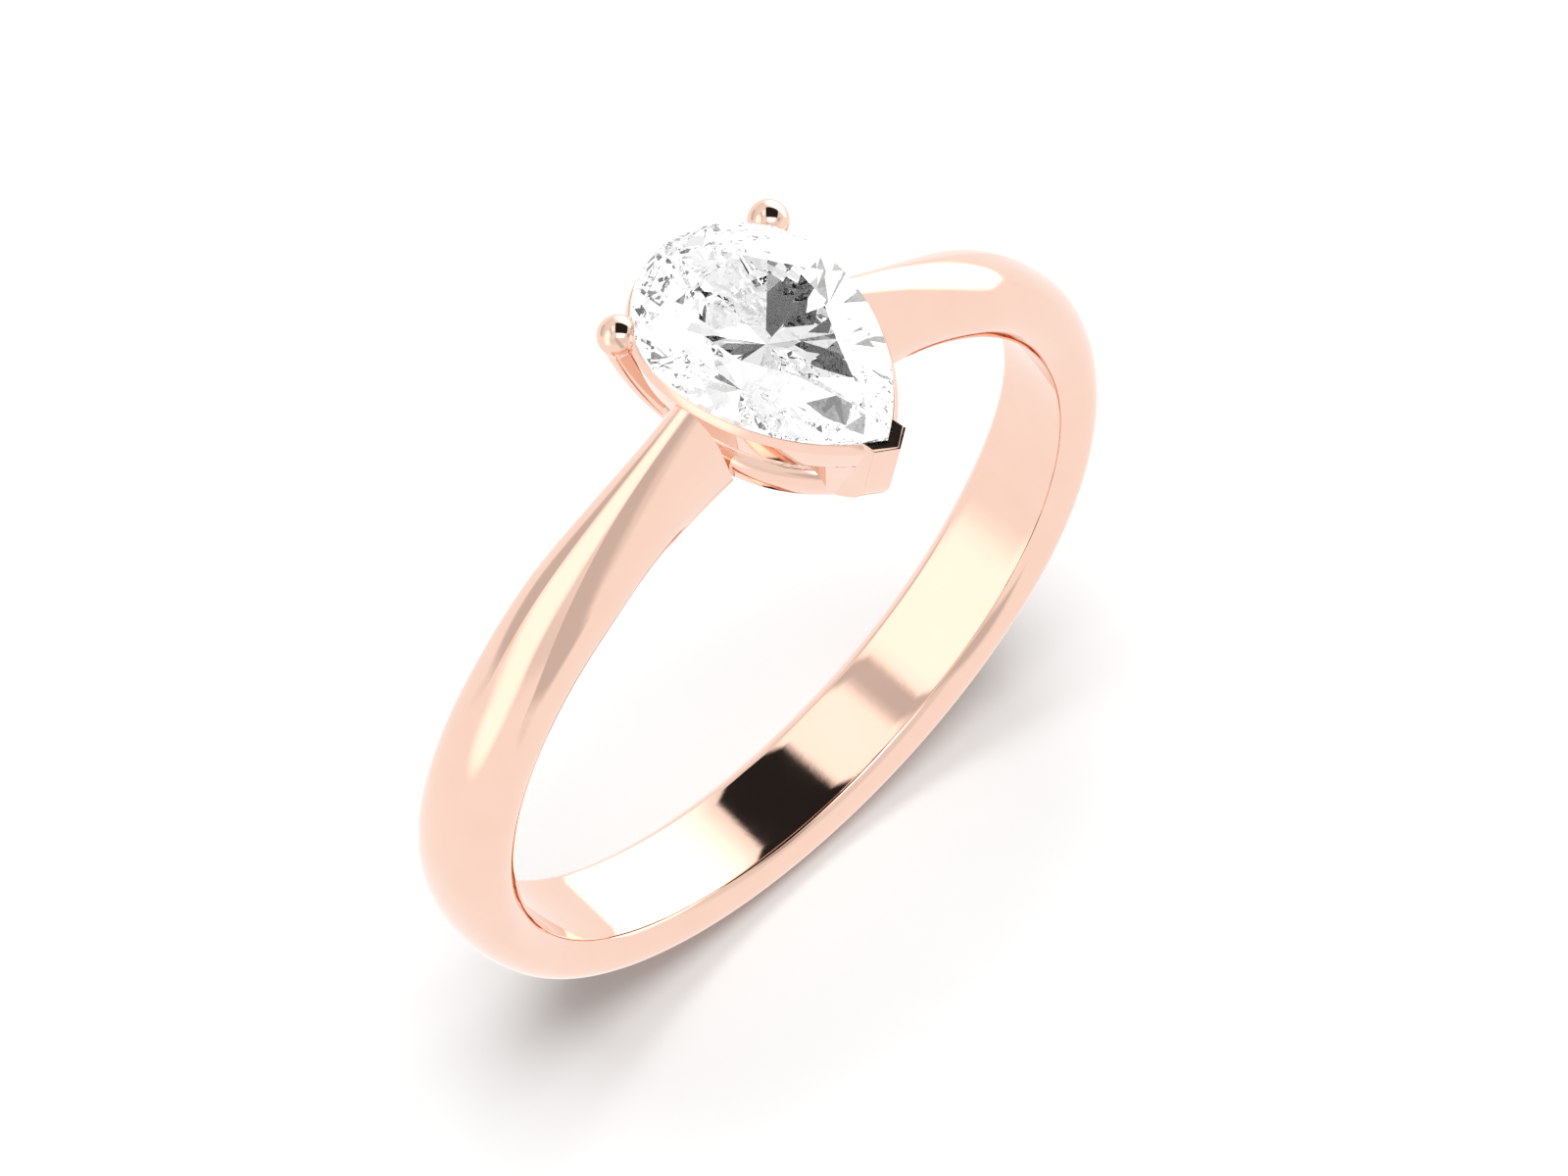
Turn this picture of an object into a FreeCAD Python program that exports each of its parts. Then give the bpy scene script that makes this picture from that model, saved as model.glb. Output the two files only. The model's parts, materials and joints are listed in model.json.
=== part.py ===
"""A pear-cut solitaire engagement ring in polished rose gold, in millimetres.

Frame: the origin is the centre of the finger hole. Y is the axis of the hole, and the point of
the pear lies towards -Y. Z points up through the stone, and X runs across the head.
Angles round the band are measured from its lowest point, so 180 degrees is under the stone.
"""

import FreeCAD, Part
import math
import os

from FreeCAD import Placement, Rotation, Vector

doc = FreeCAD.newDocument("pear_solitaire_ring")
sheet = doc.addObject("Spreadsheet::Sheet", "Sizes")

# Driving dimensions: millimetres, and degrees where the name says angle.
SIZES = [
    ("bore_radius", 8.5),
    # band: half width of its inner face, and its D-shaped outside
    ("half_width_base", 1.11),
    ("half_width_head", 0.64),
    ("width_taper_start_angle", 55.0),
    ("width_taper_end_angle", 155.0),
    ("side_bulge", 0.32),
    ("side_height", 0.65),
    ("thickness_base", 1.415),
    ("thickness_shoulder", 1.53),
    ("thickening_start_angle", 80.0),
    ("thickening_end_angle", 120.0),
    ("shank_end_angle", 104.0),
    # shoulder: a straight crown line that climbs to the head
    ("shoulder_top_x", 2.2),
    ("shoulder_top_z", 11.07),
    ("shoulder_slope", 0.7),
    ("shoulder_step_angle", 5.0),
    ("shoulder_end_angle", 173.0),
    ("climb_start_angle", 122.0),
    ("climb_end_angle", 162.0),
    ("corner_power", 2.5),
    ("corner_start_angle", 105.0),
    ("corner_end_angle", 145.0),
    ("bulge_taper_start_angle", 140.0),
    ("bulge_taper_end_angle", 170.0),
    # rib along the crown of the shoulder, with a flute on each side
    ("rib_half_width_start", 0.48),
    ("rib_half_width_head", 0.12),
    ("rib_start_shift", -0.34),
    ("rib_shift_start_angle", 122.0),
    ("rib_shift_end_angle", 158.0),
    ("rib_taper_start_angle", 128.0),
    ("rib_taper_end_angle", 165.0),
    ("flute_rate", 0.3),
    ("flute_start_angle", 120.0),
    ("flute_full_angle", 130.0),
    # stone
    ("stone_half_width", 2.255),
    ("stone_wide_y", 0.697),
    ("stone_tip_y", -3.498),
    ("round_end_ratio", 1.056),
    ("girdle_z", 11.34),
    ("girdle_height", 0.07),
    ("crown_height", 0.66),
    ("pavilion_depth", 2.25),
    ("culet_y", 0.05),
    ("table_share", 0.56),
    ("star_share", 0.55),
    ("lower_half_share", 0.75),
    # gallery: two rails on one tapering pear-shaped wall
    ("gallery_base_z", 8.55),
    ("gallery_top_z", 11.1),
    ("gallery_half_width", 1.82),
    ("gallery_side_slope", 0.217),
    ("gallery_wide_y", 0.547),
    ("gallery_wide_slope", 0.06),
    ("gallery_tip_y", -2.73),
    ("gallery_tip_slope", 0.355),
    ("rail_width", 0.6),
    ("upper_rail_height", 0.8),
    ("rail_rim_height", 0.17),
    ("rail_rim_inset", 0.13),
    ("lower_rail_face", 0.3),
    ("lower_rail_round", 0.5),
    ("gusset_drop", 0.25),
    ("gusset_foot", 0.5),
    ("gusset_corner_width", 0.12),
    ("gusset_corner_height", 0.16),
    ("gusset_reach", 0.73),
    # round claws: arcs of round wire with domed tips
    ("claw_radius", 0.41),
    ("claw_tip_radius", 0.45),
    ("claw_x", 2.113),
    ("claw_y", 2.188),
    ("claw_tip_z", 11.17),
    ("claw_run_x", 0.813),
    ("claw_run_y", 0.768),
    ("claw_bend_radius", 7.8),
    ("claw_low_angle", 35.5),
    ("claw_sweep_angle", 21.5),
    # claw at the point: two arms that meet in a corner and curl in under the gallery
    ("point_claw_top_z", 11.4),
    ("point_claw_y", -3.86),
    ("point_claw_slope", 0.15),
    ("point_claw_bend_z", 9.8),
    ("point_claw_curve", 0.5),
    ("point_claw_arm", 0.45),
    ("point_claw_wall", 0.35),
    ("point_claw_thickening", 0.15),
    ("point_claw_arm_taper", 0.03),
    ("point_claw_bevel", 0.32),
    ("point_claw_bevel_sink", 0.02),
    ("tip_half_angle", 56.5),
]

for row, (name, value) in enumerate(SIZES, start=1):
    sheet.set("A%d" % row, name)
    sheet.set("B%d" % row, str(value))
    sheet.setAlias("B%d" % row, name)
doc.recompute()


# How far cutting tools reach past the faces they cut, in millimetres.
CLEARANCE = 0.03

# How near two faces may lie and still be taken as one in a cut, in millimetres.
CUT_TOLERANCE = 1e-4


def size(name):
    """The value of one driving dimension."""
    return float(sheet.get(name))


def bind(thing, **properties):
    """Ties properties of a document object to cells of the sheet, each given as an expression."""
    for name, expression in properties.items():
        thing.setExpression(name, expression)
    return thing


def ease(value, start, end):
    """A smooth step from 0 at start to 1 at end, level at both."""
    share = min(max((value - start) / (end - start), 0.0), 1.0)
    return share * share * (3 - 2 * share)


def long_ease(value, start, end):
    """A smooth step that also starts and ends without curvature."""
    share = min(max((value - start) / (end - start), 0.0), 1.0)
    return share**3 * (10 - 15 * share + 6 * share * share)


# ---------------------------------------------------------------- band


def face_half_width(angle):
    """Half the width of the band's inner face."""
    taper = ease(angle, size("width_taper_start_angle"), size("width_taper_end_angle"))
    return size("half_width_base") + (size("half_width_head") - size("half_width_base")) * taper


def bulge_taper(angle):
    """How far the bulge of the sides has died away, from 0 on the shank to 1 at the head."""
    return ease(angle, size("bulge_taper_start_angle"), size("bulge_taper_end_angle"))


def half_width(angle):
    """Half the greatest width of the band, where its sides stand square to the hole."""
    return face_half_width(angle) + size("side_bulge") * (1 - bulge_taper(angle))


def crown_height(angle):
    """Height of the crown of the band over the bore."""
    base = size("thickness_base")
    base += (size("thickness_shoulder") - base) * ease(angle, 80, 120)
    turn = math.radians(angle)
    slope = size("shoulder_slope")
    line = size("shoulder_top_z") + slope * size("shoulder_top_x")
    line /= slope * math.sin(turn) - math.cos(turn)
    climb = long_ease(angle, size("climb_start_angle"), size("climb_end_angle"))
    return base + (line - size("bore_radius") - base) * climb


def rib_edges(angle):
    """Where the rib's two edges lie across the band: towards -Y, then towards +Y."""
    shift = ease(angle, size("rib_shift_start_angle"), size("rib_shift_end_angle"))
    centre = size("rib_start_shift") * (1 - shift)
    taper = ease(angle, size("rib_taper_start_angle"), size("rib_taper_end_angle"))
    half = size("rib_half_width_start")
    half += (size("rib_half_width_head") - half) * taper
    return centre - half, centre + half


def top_height(angle, across):
    """Height of the outside of the band over the bore, at a place across it.

    The section is a D-shaped dome. The rib keeps the dome; outside each edge of the rib a shallow
    flute is scooped out, deepest near the rib and gone at the side of the band.
    """
    sharpening = ease(angle, size("corner_start_angle"), size("corner_end_angle"))
    power = 2 + (size("corner_power") - 2) * sharpening
    rise = crown_height(angle) - size("side_height")
    share = min(abs(across) / half_width(angle), 1.0)
    height = size("side_height") + rise * (1 - share**power) ** (1 / power)
    low, high = rib_edges(angle)
    if low <= across <= high:
        return height
    edge_turn = math.asin(abs(low if across < low else high) / half_width(angle))
    fade = (math.asin(share) - edge_turn) / (math.pi / 2 - edge_turn)
    scoop = size("flute_rate") * fade * (1 - fade) ** 2
    return height - scoop * ease(angle, size("flute_start_angle"), size("flute_full_angle"))


def spline(points):
    """One smooth edge through the points."""
    curve = Part.BSplineCurve()
    curve.interpolate(points)
    return curve.toShape()


def band_section(signed_angle):
    """The closed outline of the band at one angle: floor, two sides, two top flanks and the rib."""
    angle = abs(signed_angle)
    turn = math.radians(signed_angle)
    outward = Vector(math.sin(turn), 0, -math.cos(turn))
    bore = size("bore_radius")
    wide, face = half_width(angle), face_half_width(angle)
    below = 0.25

    def place(across, height):
        return outward * (bore + height) + Vector(0, across, 0)

    def side(sign):
        steps = 6
        points = []
        for step in range(steps + 1):
            share = step / steps
            bulge = (wide - face) * math.sin(share * math.pi / 2)
            points.append(place(sign * (face + bulge), size("side_height") * share))
        return points

    def top(start, end):
        steps = 14
        first, last = math.asin(start / wide), math.asin(end / wide)
        turns = [first + (last - first) * step / steps for step in range(steps + 1)]
        return [place(wide * math.sin(t), top_height(angle, wide * math.sin(t))) for t in turns]

    low, high = rib_edges(angle)
    floor_low, floor_high = place(-face, -below), place(face, -below)
    front, back = side(-1), side(1)
    edges = [
        Part.LineSegment(floor_high, floor_low).toShape(),
        Part.LineSegment(floor_low, front[0]).toShape(),
        spline(front),
        spline(top(-wide, low)),
        spline(top(low, high)),
        spline(top(high, wide)),
        spline(back[::-1]),
        Part.LineSegment(back[0], floor_high).toShape(),
    ]
    return Part.Wire(edges)


def lofted_band(name, angles):
    """A stretch of the band through its sections, before the bore is cut."""
    stretch = doc.addObject("Part::Feature", name)
    stretch.Shape = Part.makeLoft([band_section(angle) for angle in angles], True, False)
    return stretch


bore_tool = doc.addObject("Part::Cylinder", "bore_tool")
bind(bore_tool, Radius="Sizes.bore_radius")
bore_tool.Height = 10
seam_up = Rotation(Vector(0, 0, 1), Vector(-1, 0, 0), Vector(0, -1, 0), "ZXY")
bore_tool.Placement = Placement(Vector(0, 5, 0), seam_up)

shank_end = size("shank_end_angle")
shank_steps = 16
shank_angles = [shank_end * (2 * step / shank_steps - 1) for step in range(shank_steps + 1)]
shank_stock = lofted_band("shank_stock", shank_angles)
shoulder_end, shoulder_step = size("shoulder_end_angle"), size("shoulder_step_angle")
shoulder_sections = round((shoulder_end - shank_end) / shoulder_step)
shoulder_step = (shoulder_end - shank_end) / shoulder_sections
shoulder_angles = [shank_end + shoulder_step * step for step in range(shoulder_sections + 1)]
shoulder_stock = lofted_band("shoulder_stock", shoulder_angles)

# ---------------------------------------------------------------- pear outlines


class Pear:
    """A pear outline: half an ellipse for the round end and one long arc down each side."""

    def __init__(self, half, wide_y, tip_y, inset=0.0):
        length = wide_y - tip_y
        self.arc = (half * half + length * length) / (2 * half) - inset
        self.half = half - inset
        self.wide_y = wide_y
        self.end = half * size("round_end_ratio") - inset
        self.tip_y = wide_y - math.sqrt(self.arc**2 - (self.arc - self.half) ** 2)

    def side_x(self, y):
        """Half width of the outline at a place between the widest line and the tip."""
        return math.sqrt(self.arc**2 - (y - self.wide_y) ** 2) - (self.arc - self.half)

    def wire(self, z):
        """The closed outline at height z."""
        centre = Vector(0, self.wide_y, z)
        tip = Vector(0, self.tip_y, z)
        left = Vector(-self.half, self.wide_y, z)
        right = Vector(self.half, self.wide_y, z)
        ellipse = Part.Ellipse(centre + Vector(0, self.end, 0), right, centre)
        middle_y = (self.wide_y + self.tip_y) / 2
        bulge = self.side_x(middle_y)
        edges = [
            Part.ArcOfEllipse(ellipse, -math.pi / 2, math.pi / 2).toShape(),
            Part.Arc(left, Vector(-bulge, middle_y, z), tip).toShape(),
            Part.Arc(tip, Vector(bulge, middle_y, z), right).toShape(),
        ]
        return Part.Wire(Part.__sortEdges__(edges))


def stone_outline(inset=0.0):
    """Outline of the stone at its girdle."""
    return Pear(size("stone_half_width"), size("stone_wide_y"), size("stone_tip_y"), inset)


def gallery_outline(z, inset=0.0):
    """Outline of the tapering wall of the gallery at height z."""
    rise = z - size("gallery_base_z")
    half = size("gallery_half_width") + size("gallery_side_slope") * rise
    wide_y = size("gallery_wide_y") + size("gallery_wide_slope") * rise
    tip_y = size("gallery_tip_y") - size("gallery_tip_slope") * rise
    return Pear(half, wide_y, tip_y, inset)


def gallery_block(levels):
    """A solid through gallery outlines, each given as a height and an inset from the wall."""
    return Part.makeLoft([gallery_outline(z, inset).wire(z) for z, inset in levels], True, True)


def feature(name, shape):
    """A document object that holds a shape made in code."""
    thing = doc.addObject("Part::Feature", name)
    thing.Shape = shape
    return thing


def cut(name, base, *tools):
    """One object less several others, as a chain of Part cuts."""
    for number, tool in enumerate(tools, start=1):
        last = number == len(tools)
        step = doc.addObject("Part::Cut", name if last else "%s_cut_%d" % (name, number))
        step.Base, step.Tool = base, tool
        base = step
    return base


# ---------------------------------------------------------------- stone


def pear_stone():
    """A pear brilliant with flat facets: table, stars, kites and halves over a curved girdle."""
    mains = 8
    outline = stone_outline()
    girdle_top = size("girdle_z") + size("girdle_height") / 2
    girdle_low = size("girdle_z") - size("girdle_height") / 2
    table_z = girdle_top + size("crown_height")
    culet = Vector(0, size("culet_y"), girdle_low - size("pavilion_depth"))

    def rim(share):
        """Place and direction of the girdle, at a share of the way round from the tip."""
        turn = 2 * math.pi * share
        ray = Vector(math.sin(turn), -math.cos(turn), 0)
        near, far = 0.0, 5.0
        for _ in range(50):
            middle = (near + far) / 2
            spot = ray * middle + Vector(0, size("culet_y"), 0)
            if inside(spot):
                near = middle
            else:
                far = middle
        return spot

    def inside(spot):
        if spot.y > outline.wide_y:
            across, along = spot.x / outline.half, (spot.y - outline.wide_y) / outline.end
            return across * across + along * along < 1
        if spot.y < outline.tip_y:
            return False
        return abs(spot.x) < outline.side_x(spot.y)

    def tangent(share):
        return (rim(share + 0.002) - rim(share - 0.002)).normalize()

    def oversize(spot, z):
        """The place moved out a little, so that the girdle's own outline can trim it."""
        return Vector(spot.x * 1.03, culet.y + (spot.y - culet.y) * 1.03, z)

    def meet(plane_a, plane_b, z):
        """Where two planes, each a point and a normal, cross at height z."""
        (spot_a, normal_a), (spot_b, normal_b) = plane_a, plane_b
        right_a = normal_a.dot(spot_a) - normal_a.z * z
        right_b = normal_b.dot(spot_b) - normal_b.z * z
        det = normal_a.x * normal_b.y - normal_a.y * normal_b.x
        x = (right_a * normal_b.y - right_b * normal_a.y) / det
        y = (normal_a.x * right_b - normal_b.x * right_a) / det
        return Vector(x, y, z)

    shares = [(number + 0.5) / mains for number in range(mains)]
    half_shares = [number / mains for number in range(mains)]
    upper = [oversize(rim(share), girdle_top) for share in shares]
    lower = [oversize(rim(share), girdle_low) for share in shares]
    upper_half = [oversize(rim(share), girdle_top) for share in half_shares]
    lower_half = [oversize(rim(share), girdle_low) for share in half_shares]
    table = []
    for share in shares:
        spot = rim(share) - Vector(0, size("culet_y"), 0)
        table.append(spot * size("table_share") + Vector(0, size("culet_y"), table_z))
    crown_planes, pavilion_planes = [], []
    for number, share in enumerate(shares):
        along = tangent(share)
        crown_planes.append((upper[number], along.cross(table[number] - upper[number])))
        pavilion_planes.append((lower[number], along.cross(culet - lower[number])))
    star_z = girdle_top + size("crown_height") * size("star_share")
    halves_z = girdle_low - size("pavilion_depth") * size("lower_half_share")
    star, deep = [], []
    for number in range(mains):
        star.append(meet(crown_planes[number - 1], crown_planes[number], star_z))
        deep.append(meet(pavilion_planes[number - 1], pavilion_planes[number], halves_z))

    polygons = [table]
    for this in range(mains):
        after = (this + 1) % mains
        before = this - 1
        polygons.append([table[this], star[this], upper[this], star[after]])
        polygons.append([table[before], star[this], table[this]])
        polygons.append([upper_half[this], star[this], upper[this]])
        polygons.append([upper_half[this], star[this], upper[before]])
        polygons.append([culet, deep[this], lower[this], deep[after]])
        polygons.append([lower_half[this], deep[this], lower[this]])
        polygons.append([lower_half[this], deep[this], lower[before]])
        polygons.append([upper_half[this], upper[this], lower[this], lower_half[this]])
        polygons.append([upper_half[this], upper[before], lower[before], lower_half[this]])
    faces = [Part.Face(Part.makePolygon(corners + corners[:1])) for corners in polygons]
    shell = Part.Shell(faces)
    shell.fix(1e-6, 1e-6, 1e-6)
    rough = Part.Solid(shell)
    if rough.Volume < 0:
        rough.reverse()
    column = Part.Face(outline.wire(culet.z - 1)).extrude(Vector(0, 0, table_z - culet.z + 2))
    return rough.common(column).Solids[0]


stone = feature("pear_diamond", pear_stone())

# ---------------------------------------------------------------- claws


def round_claw(side, name):
    """A bowed round wire with a domed tip, cut level under the gallery and notched for the stone."""
    reach = Vector(side * size("claw_run_x"), size("claw_run_y"), 0).normalize()
    lean = math.radians(size("claw_low_angle"))
    top = math.radians(size("claw_low_angle") - size("claw_sweep_angle"))
    up = Vector(0, 0, 1)
    tip = Vector(side * size("claw_x"), size("claw_y"), size("claw_tip_z"))
    centre = tip - (reach * math.cos(top) - up * math.sin(top)) * size("claw_bend_radius")
    along_x = reach * math.cos(lean) - up * math.sin(lean)
    along_y = reach * math.sin(lean) + up * math.cos(lean)
    shaft = doc.addObject("Part::Torus", name + "_shaft")
    bind(
        shaft,
        Radius1="Sizes.claw_bend_radius",
        Radius2="Sizes.claw_radius",
        Angle3="Sizes.claw_sweep_angle",
    )
    shaft.Placement = Placement(centre, Rotation(along_x, along_y, along_x.cross(along_y), "ZXY"))
    dome = doc.addObject("Part::Sphere", name + "_dome")
    bind(dome, Radius="Sizes.claw_tip_radius")
    dome.Placement = Placement(tip, Rotation())
    whole = doc.addObject("Part::Fuse", name + "_stock")
    whole.Base, whole.Tool = shaft, dome
    return cut(name, whole, floor_tool, stone)


floor_tool = doc.addObject("Part::Box", "floor_tool")
floor_tool.Length = floor_tool.Width = 10
bind(floor_tool, Height="Sizes.gallery_base_z - 6")
floor_tool.Placement = Placement(Vector(-5, -5, 6), Rotation())

left_claw = round_claw(-1, "left_claw")
right_claw = round_claw(1, "right_claw")


def chevron(z):
    """Outline of the claw at the point: two arms that meet in a corner, at height z."""
    drop = size("point_claw_top_z") - z
    bend = max(size("point_claw_bend_z") - z, 0.0)
    corner = size("point_claw_y") + size("point_claw_slope") * drop
    corner += size("point_claw_curve") * bend * bend
    spread, taper = size("point_claw_arm"), size("point_claw_arm_taper")
    back = spread / math.tan(math.radians(size("tip_half_angle")))
    wall = size("point_claw_wall") + size("point_claw_thickening") * drop
    corners = [
        Vector(0, corner, z),
        Vector(spread, corner + back, z),
        Vector(spread - taper, corner + back + wall, z),
        Vector(0, corner + wall, z),
        Vector(-spread + taper, corner + back + wall, z),
        Vector(-spread, corner + back, z),
    ]
    return Part.makePolygon(corners + corners[:1])


claw_foot = size("gallery_base_z")
straight = Part.makeLoft([chevron(size("point_claw_top_z")), chevron(size("point_claw_bend_z"))], True, True)
bend_steps = 6
bend_drop = size("point_claw_bend_z") - claw_foot
bend_levels = [size("point_claw_bend_z") - bend_drop * step / bend_steps for step in range(bend_steps + 1)]
curved = Part.makeLoft([chevron(z) for z in bend_levels], True, False)
tip_claw_stock = feature("tip_claw_stock", straight.fuse(curved))

bevel_low = size("girdle_z") - size("point_claw_bevel_sink")
bevel_high = size("point_claw_top_z") + CLEARANCE
bevel_rise = stone_outline().wire(bevel_low), stone_outline(-size("point_claw_bevel")).wire(bevel_high)
bevel_tool = feature("bevel_tool", Part.makeLoft(list(bevel_rise), True, True))
tip_claw = cut("tip_claw", tip_claw_stock, bevel_tool, stone)

# ---------------------------------------------------------------- gallery

base_z, top_z = size("gallery_base_z"), size("gallery_top_z")
rail_inset, rim_z = size("rail_width"), size("gallery_top_z") + size("rail_rim_height")
upper_low_z = top_z - size("upper_rail_height")
upper_outer = gallery_block([(upper_low_z, 0), (top_z, 0), (rim_z, size("rail_rim_inset"))])
upper_inner = gallery_block([(upper_low_z - 1, rail_inset), (rim_z + 1, rail_inset)])
upper_ring = feature("upper_ring", upper_outer.cut(upper_inner))
upper_rail = cut("upper_gallery_rail", upper_ring, stone, left_claw, right_claw, tip_claw)

round_steps = 6
lower_round = size("lower_rail_round")
face_z = base_z + size("lower_rail_face")
lower_levels = [(base_z, 0)]
for step in range(round_steps + 1):
    turn = math.pi / 2 * step / round_steps
    lower_levels.append((face_z + lower_round * math.sin(turn), lower_round * (1 - math.cos(turn))))
lower_inner = gallery_block([(base_z - 1, rail_inset), (top_z, rail_inset)])
lower_ring = feature("lower_ring", gallery_block(lower_levels).cut(lower_inner))
lower_rail = cut("lower_gallery_rail", lower_ring, left_claw, right_claw, tip_claw)

wall_block = gallery_block([(base_z - 0.5, 0), (top_z, 0)])
panel_low_z = base_z + size("gusset_drop")


def gusset(side, name):
    """A flat panel on the gallery wall beside the pointed claw, between the two rails."""
    low, foot, high = size("point_claw_arm") * 0.5, size("gusset_foot"), size("gusset_reach")
    corners = [
        Vector(low, 0, panel_low_z),
        Vector(foot, 0, panel_low_z),
        Vector(foot + size("gusset_corner_width"), 0, panel_low_z + size("gusset_corner_height")),
        Vector(high, 0, upper_low_z),
        Vector(low, 0, upper_low_z),
    ]
    corners = [Vector(side * c.x, -5, c.z) for c in corners]
    slab = Part.Face(Part.makePolygon(corners + corners[:1])).extrude(Vector(0, 4, 0))
    thin = slab.common(wall_block).cut(lower_inner)
    return cut(name, feature(name + "_stock", thin), tip_claw, lower_rail, upper_rail)


left_gusset = gusset(-1, "left_tip_gusset")
right_gusset = gusset(1, "right_tip_gusset")

# ---------------------------------------------------------------- band pieces

doc.recompute()
head_space = feature("head_space", gallery_block([(base_z - 1, 0), (top_z, 0), (rim_z + 0.4, 0)]))
shank = feature("shank", shank_stock.Shape.cut([bore_tool.Shape], CUT_TOLERANCE))
right_shoulder = cut("right_shoulder", shoulder_stock, bore_tool, head_space)
left_stock = doc.addObject("Part::Mirroring", "left_shoulder_stock")
left_stock.Source = shoulder_stock
left_stock.Base = (0, 0, 0)
left_stock.Normal = (1, 0, 0)
left_shoulder = cut("left_shoulder", left_stock, bore_tool, head_space)

pieces = [
    shank,
    left_shoulder,
    right_shoulder,
    lower_rail,
    upper_rail,
    left_claw,
    right_claw,
    tip_claw,
    left_gusset,
    right_gusset,
    stone,
]
doc.recompute()

for thing in doc.Objects:
    if "Invalid" in thing.State or "Error" in thing.State:
        raise RuntimeError("%s did not build: %s" % (thing.Label, thing.State))

os.makedirs("parts", exist_ok=True)
for piece in pieces:
    shape = piece.Shape
    if shape.isNull() or not shape.isValid() or len(shape.Solids) != 1:
        raise RuntimeError("%s is not one valid solid" % piece.Label)
    shape.exportStep("parts/%s.step" % piece.Label)
    print("%s %.3f mm3" % (piece.Label, shape.Volume))
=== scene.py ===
"""Looks for the pear-cut solitaire ring: polished rose gold, a pear brilliant, a pale floor and soft light.

Shapes are worked out in millimetres, in the frame of the CAD model, and scaled to metres once.
Angles round the band are measured from its lowest point, so 180 degrees is under the stone.
"""

import json
import math

import bpy
import numpy as np
from mathutils import Matrix, Vector


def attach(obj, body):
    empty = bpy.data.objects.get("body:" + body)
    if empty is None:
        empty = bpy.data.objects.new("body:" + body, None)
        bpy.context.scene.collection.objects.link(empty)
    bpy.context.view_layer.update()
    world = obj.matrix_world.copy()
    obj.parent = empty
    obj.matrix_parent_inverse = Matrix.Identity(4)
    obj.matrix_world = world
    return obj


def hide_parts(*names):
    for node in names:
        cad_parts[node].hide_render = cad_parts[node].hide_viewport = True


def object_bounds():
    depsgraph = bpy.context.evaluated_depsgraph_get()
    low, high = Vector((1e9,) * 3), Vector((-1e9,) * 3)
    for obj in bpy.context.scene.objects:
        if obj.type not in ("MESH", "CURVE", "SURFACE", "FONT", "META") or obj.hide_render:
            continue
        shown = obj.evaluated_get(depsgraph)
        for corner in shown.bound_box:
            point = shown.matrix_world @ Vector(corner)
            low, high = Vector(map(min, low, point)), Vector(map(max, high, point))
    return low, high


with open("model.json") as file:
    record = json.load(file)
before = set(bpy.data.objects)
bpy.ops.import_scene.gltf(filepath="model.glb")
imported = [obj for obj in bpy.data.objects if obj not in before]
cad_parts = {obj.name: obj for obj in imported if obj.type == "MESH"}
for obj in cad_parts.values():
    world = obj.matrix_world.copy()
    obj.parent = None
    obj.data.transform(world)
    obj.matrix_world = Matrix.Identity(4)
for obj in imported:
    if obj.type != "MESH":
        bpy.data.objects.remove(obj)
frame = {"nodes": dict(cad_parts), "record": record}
cad_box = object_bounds()

MM = 0.001
BORE_RADIUS = frame["record"]["mounts"][0]["dims"]["r_mm"]


def ease(value, start, end):
    """A smooth step from 0 at start to 1 at end, level at both."""
    share = np.clip((value - start) / (end - start), 0.0, 1.0)
    return share * share * (3 - 2 * share)


def long_ease(value, start, end):
    """A smooth step that also starts and ends without curvature."""
    share = np.clip((value - start) / (end - start), 0.0, 1.0)
    return share**3 * (10 - 15 * share + 6 * share * share)


# ---------------------------------------------------------------- mesh helpers


def add_mesh(name, verts, faces, sharp_angle=None):
    """A new smooth-shaded mesh object from points in millimetres; edges over sharp_angle stay sharp."""
    mesh = bpy.data.meshes.new(name)
    mesh.from_pydata([tuple(np.asarray(v) * MM) for v in verts], [], faces)
    mesh.validate()
    mesh.shade_smooth()
    if sharp_angle:
        mesh.set_sharp_from_angle(angle=math.radians(sharp_angle))
    thing = bpy.data.objects.new(name, mesh)
    bpy.context.scene.collection.objects.link(thing)
    return thing


def grid_faces(rows, columns, wrap_rows=False):
    """Quads over a grid of points stored row by row, closed across its columns."""
    faces = []
    for row in range(rows if wrap_rows else rows - 1):
        below = (row + 1) % rows
        for column in range(columns):
            after = (column + 1) % columns
            here, there = row * columns, below * columns
            faces.append((here + column, here + after, there + after, there + column))
    return faces


# ---------------------------------------------------------------- pear outlines


ROUND_END_STRETCH = 1.056


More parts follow.
